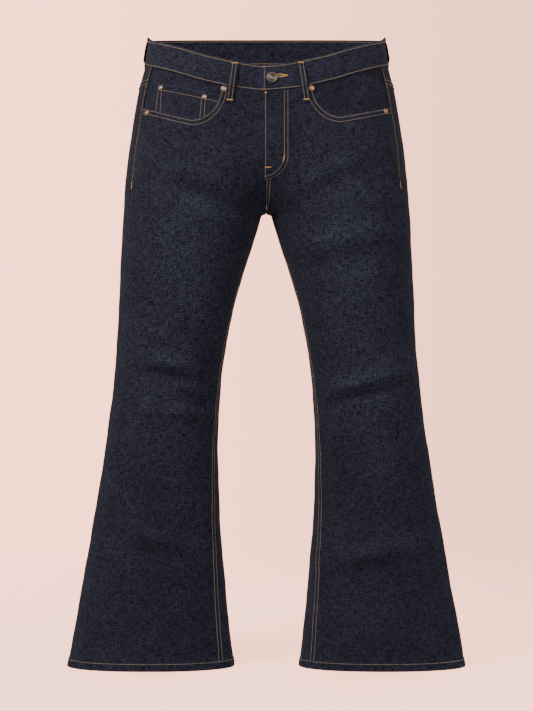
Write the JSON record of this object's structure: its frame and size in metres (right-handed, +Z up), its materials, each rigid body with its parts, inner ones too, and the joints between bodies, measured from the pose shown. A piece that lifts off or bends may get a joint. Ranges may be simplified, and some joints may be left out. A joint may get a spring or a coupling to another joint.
{
  "type": "bootcut jeans",
  "caption": "Five-pocket bootcut jeans in dark denim, filled out with no wearer, legs apart, open at the waist and at both flared hems.",
  "frame": {"origin": "middle of the waist opening, level with the top of the side seams", "axes": "+Z up the body, -Y out of the front, +X to the wearer's left"},
  "size_m": [0.6574, 0.2395, 1.05],
  "materials": {
    "denim": "dark indigo twill, faintly faded on the thighs",
    "thread": "tan and gold topstitching thread",
    "button_metal": "antique, brushed",
    "rivet_copper": "antique copper"
  },
  "bodies": {
    "root": {"front_left": "denim", "front_right": "denim", "back_left": "denim", "back_right": "denim", "yoke_left": "denim", "yoke_right": "denim", "pocket_facing_left": "denim", "pocket_facing_right": "denim", "coin_pocket": "denim", "back_pocket_left": "denim", "back_pocket_right": "denim", "fly": "denim", "waistband": "denim", "hem_left": "denim", "hem_right": "denim", "belt_loop_front_left": "denim", "belt_loop_front_right": "denim", "belt_loop_side_left": "denim", "belt_loop_side_right": "denim", "belt_loop_back": "denim", "waist_button": "button_metal", "rivet_right_inner": "rivet_copper", "rivet_right_outer": "rivet_copper", "rivet_left_inner": "rivet_copper", "rivet_left_outer": "rivet_copper", "rivet_coin_inner": "rivet_copper", "rivet_coin_outer": "rivet_copper"}
  },
  "joints": []
}
